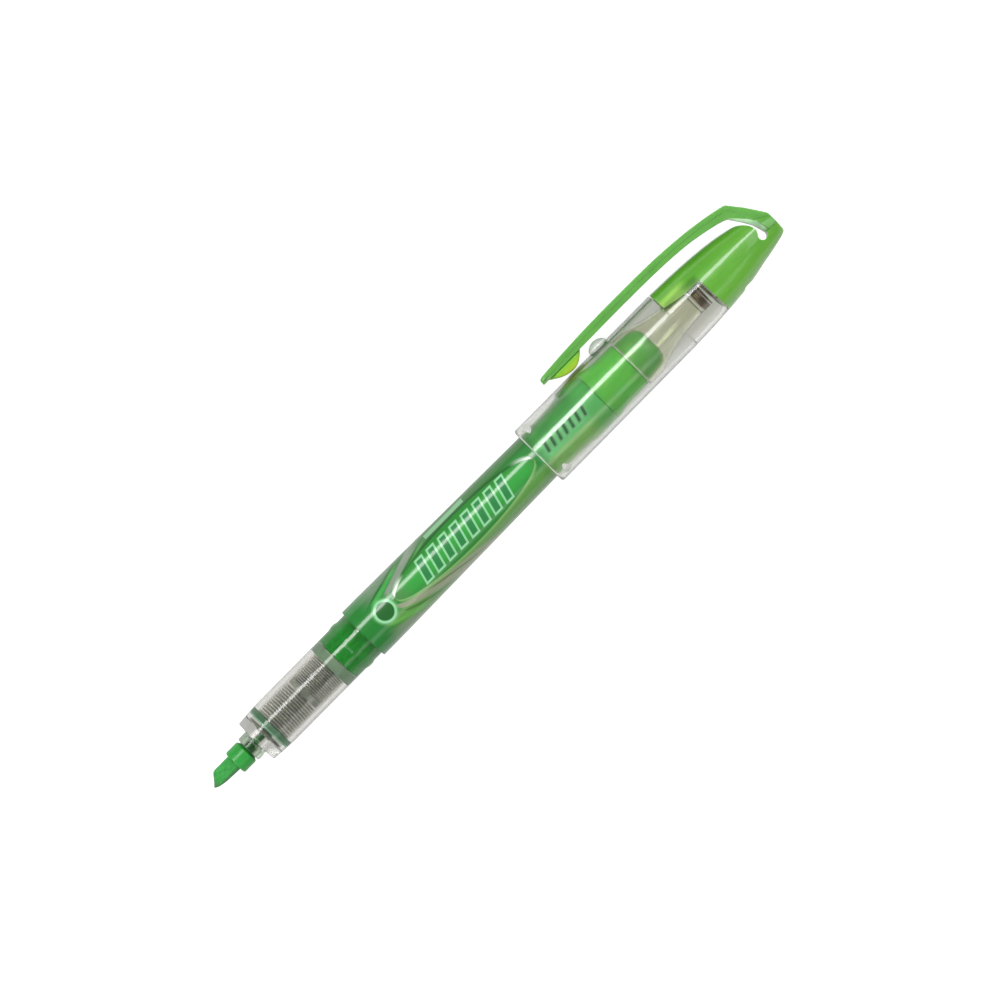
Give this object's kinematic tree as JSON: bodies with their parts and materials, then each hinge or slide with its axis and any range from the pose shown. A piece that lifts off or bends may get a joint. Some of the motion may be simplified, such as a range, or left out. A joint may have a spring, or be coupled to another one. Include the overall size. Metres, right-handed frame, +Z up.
{
  "type": "highlighter pen",
  "caption": "Liquid-ink highlighter with a chisel nib, clear front section over an ink comb, printed barrel, and a clear clip cap posted on the rear end.",
  "frame": {"origin": "bottom centre of the whole object's box, with the cap posted", "axes": "+X along the pen from the nib to the crown of the posted cap, +Y towards the clip, +Z up, square to the pen and the clip"},
  "size_m": [0.1508, 0.0174, 0.0132],
  "materials": {
    "nib_fibre": "porous, soaked with ink",
    "holder_green": "smooth, slightly translucent",
    "section_clear": "clear, polished",
    "front_seal_green": "smooth",
    "comb_grey": "fine discs, translucent grey",
    "wick_fibre": "porous",
    "rear_seal_grey": "milky",
    "ink_green": "liquid",
    "barrel_green": "smooth",
    "wrap_print": "printed pattern of green and silver",
    "plug_green": "smooth, translucent",
    "cap_clear": "clear, polished",
    "housing_clear": "clear",
    "crown_green": "smooth, translucent",
    "inner_cap_clear": "clear",
    "spring_steel": "dark drawn wire",
    "clip_green": "smooth, translucent",
    "pad_lime": "smooth"
  },
  "bodies": {
    "pen": {"nib": "nib_fibre", "nib_holder": "holder_green", "front_section": "section_clear", "front_seal_ring": "front_seal_green", "ink_comb": "comb_grey", "feed_wick": "wick_fibre", "rear_seal_ring": "rear_seal_grey", "ink_charge": "ink_green", "barrel": "barrel_green", "barrel_wrap": "wrap_print", "rear_plug": "plug_green"},
    "cap_spring": {"inner_cap_spring": "spring_steel"},
    "cap": {"cap_sleeve": "cap_clear", "spring_housing": "housing_clear", "cap_crown": "crown_green"},
    "inner_cap": {"inner_cap": "inner_cap_clear"},
    "clip": {"clip_arm": "clip_green", "clip_pad": "pad_lime"}
  },
  "joints": [
    {"name": "cap_pull", "type": "slide", "parent": "pen", "child": "cap_spring", "axis": [1, 0, 0], "range_m": [0, 0.04]},
    {"name": "cap_turn", "type": "hinge", "parent": "cap_spring", "child": "cap", "pos_m": [0.0574, -0.00212, 0.0066], "axis": [1, 0, 0], "continuous": true},
    {"name": "inner_cap_press", "type": "slide", "parent": "cap", "child": "inner_cap", "axis": [1, 0, 0], "range_m": [0, 0.001], "stiffness_N_per_m": 80, "springref_m": -0.006, "deforming": ["inner_cap_spring"]},
    {"name": "clip_flex", "type": "hinge", "parent": "cap", "child": "clip", "pos_m": [0.07395, -0.00282, 0.0066], "axis": [0, 0, -1], "range_deg": [0, 4], "stiffness_Nm_per_rad": 0.1}
  ]
}
